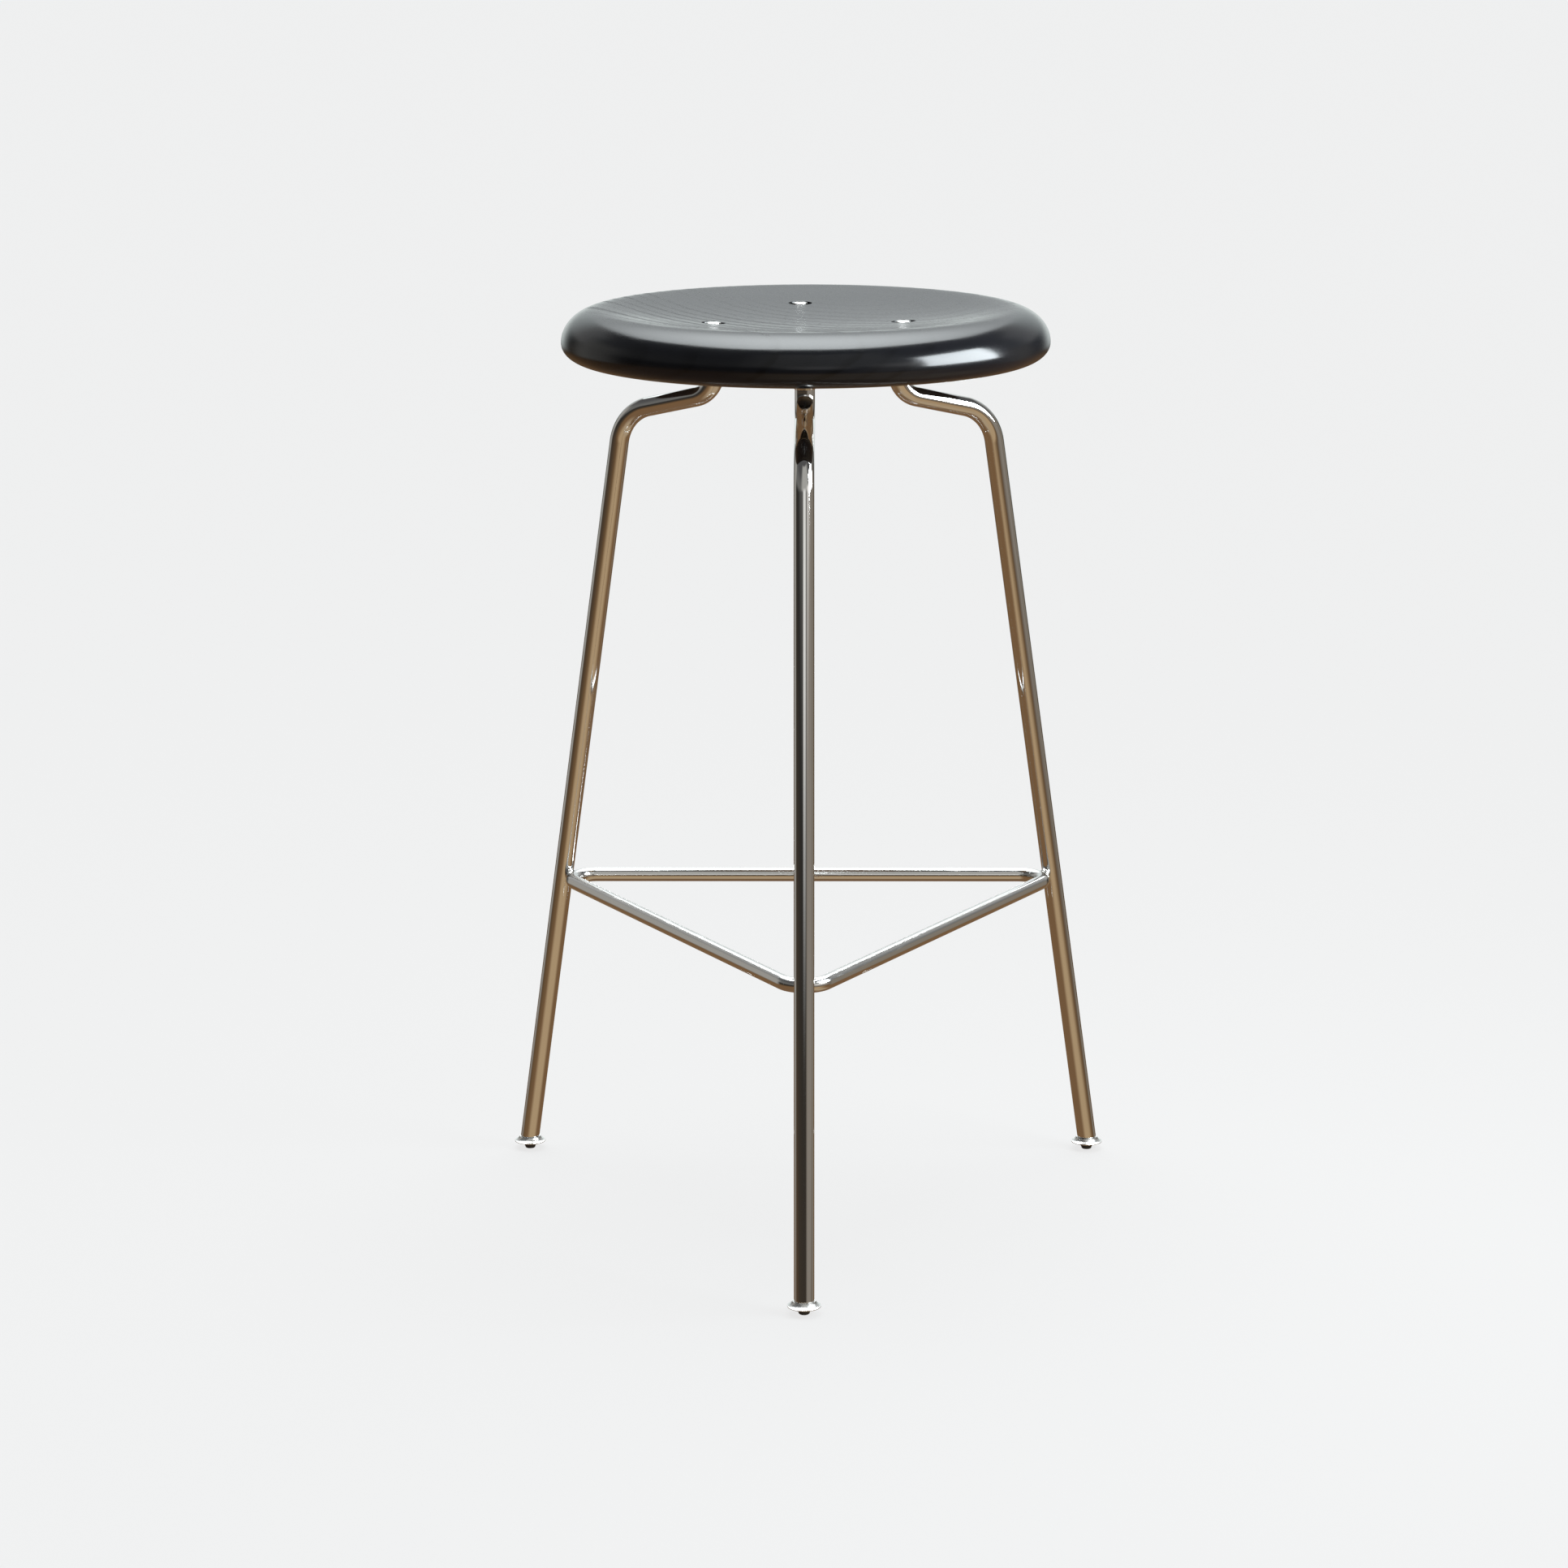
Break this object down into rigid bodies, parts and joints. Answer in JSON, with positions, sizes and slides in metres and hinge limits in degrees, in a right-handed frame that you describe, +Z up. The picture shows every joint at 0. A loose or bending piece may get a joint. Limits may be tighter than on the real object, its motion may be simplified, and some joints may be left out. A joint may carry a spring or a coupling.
{
  "type": "adjustable swivel stool",
  "caption": "Bar-height stool: round dished wooden seat that turns on a ball race above splayed bent-tube legs with a triangular foot ring and screw-levelled glides.",
  "frame": {"origin": "on the floor, at the middle of the stool's rectangle seen from above", "axes": "+Z up along the seat's turning axis, -Y towards the front leg, +X to the right"},
  "size_m": [0.5118, 0.49, 0.75],
  "materials": {
    "black_wood": "open-grain ash stained black, satin lacquer",
    "chrome": "polished chrome plate",
    "zinc_steel": "zinc-plated pressed steel",
    "bearing_steel": "polished hardened steel",
    "bronze": "oiled bronze",
    "cage_plastic": "natural nylon",
    "black_plastic": "moulded black nylon"
  },
  "bodies": {
    "frame": {"frame_plate": "chrome", "race_plate": "zinc_steel", "race_rivets": "zinc_steel", "pivot_bolt": "zinc_steel", "pivot_washer": "zinc_steel", "pivot_nut": "zinc_steel", "footrest_ring": "chrome", "leg_front": "chrome", "plug_front": "zinc_steel", "leg_back_left": "chrome", "plug_back_left": "zinc_steel", "leg_back_right": "chrome", "plug_back_right": "zinc_steel"},
    "seat": {"seat_board": "black_wood", "seat_bolts": "chrome", "seat_bolt_washers": "zinc_steel", "seat_plate": "zinc_steel", "weld_nuts": "zinc_steel", "thrust_washer": "bronze"},
    "cage": {"ball_cage": "cage_plastic", "bearing_balls": "bearing_steel"},
    "leveller_front": {"stud_front": "zinc_steel"},
    "foot_front": {"glide_front": "chrome", "pad_front": "black_plastic"},
    "leveller_back_left": {"stud_back_left": "zinc_steel"},
    "foot_back_left": {"glide_back_left": "chrome", "pad_back_left": "black_plastic"},
    "leveller_back_right": {"stud_back_right": "zinc_steel"},
    "foot_back_right": {"glide_back_right": "chrome", "pad_back_right": "black_plastic"}
  },
  "joints": [
    {"name": "seat_turn", "type": "hinge", "parent": "frame", "child": "seat", "pos_m": [0, 0.04845, 0.71], "axis": [0, 0, 1], "continuous": true},
    {"name": "cage_turn", "type": "hinge", "parent": "frame", "child": "cage", "pos_m": [0, 0.04845, 0.71], "axis": [0, 0, 1], "continuous": true},
    {"name": "foot_drop_front", "type": "slide", "parent": "frame", "child": "leveller_front", "axis": [0, 0, -1], "range_m": [0, 0.006]},
    {"name": "foot_turn_front", "type": "hinge", "parent": "leveller_front", "child": "foot_front", "pos_m": [0, -0.23175, 0.006], "axis": [0, 0, -1], "range_deg": [0, 2160]},
    {"name": "foot_drop_back_left", "type": "slide", "parent": "frame", "child": "leveller_back_left", "axis": [0, 0, -1], "range_m": [0, 0.006]},
    {"name": "foot_turn_back_left", "type": "hinge", "parent": "leveller_back_left", "child": "foot_back_left", "pos_m": [-0.24267, 0.18856, 0.006], "axis": [0, 0, -1], "range_deg": [0, 2160]},
    {"name": "foot_drop_back_right", "type": "slide", "parent": "frame", "child": "leveller_back_right", "axis": [0, 0, -1], "range_m": [0, 0.006]},
    {"name": "foot_turn_back_right", "type": "hinge", "parent": "leveller_back_right", "child": "foot_back_right", "pos_m": [0.24267, 0.18856, 0.006], "axis": [0, 0, -1], "range_deg": [0, 2160]}
  ],
  "couplings": [
    {"joint": "cage_turn", "follows": "seat_turn", "ratio": 0.5},
    {"joint": "foot_drop_front", "follows": "foot_turn_front", "m_per_rad": 0.00015915},
    {"joint": "foot_drop_back_left", "follows": "foot_turn_back_left", "m_per_rad": 0.00015915},
    {"joint": "foot_drop_back_right", "follows": "foot_turn_back_right", "m_per_rad": 0.00015915}
  ]
}
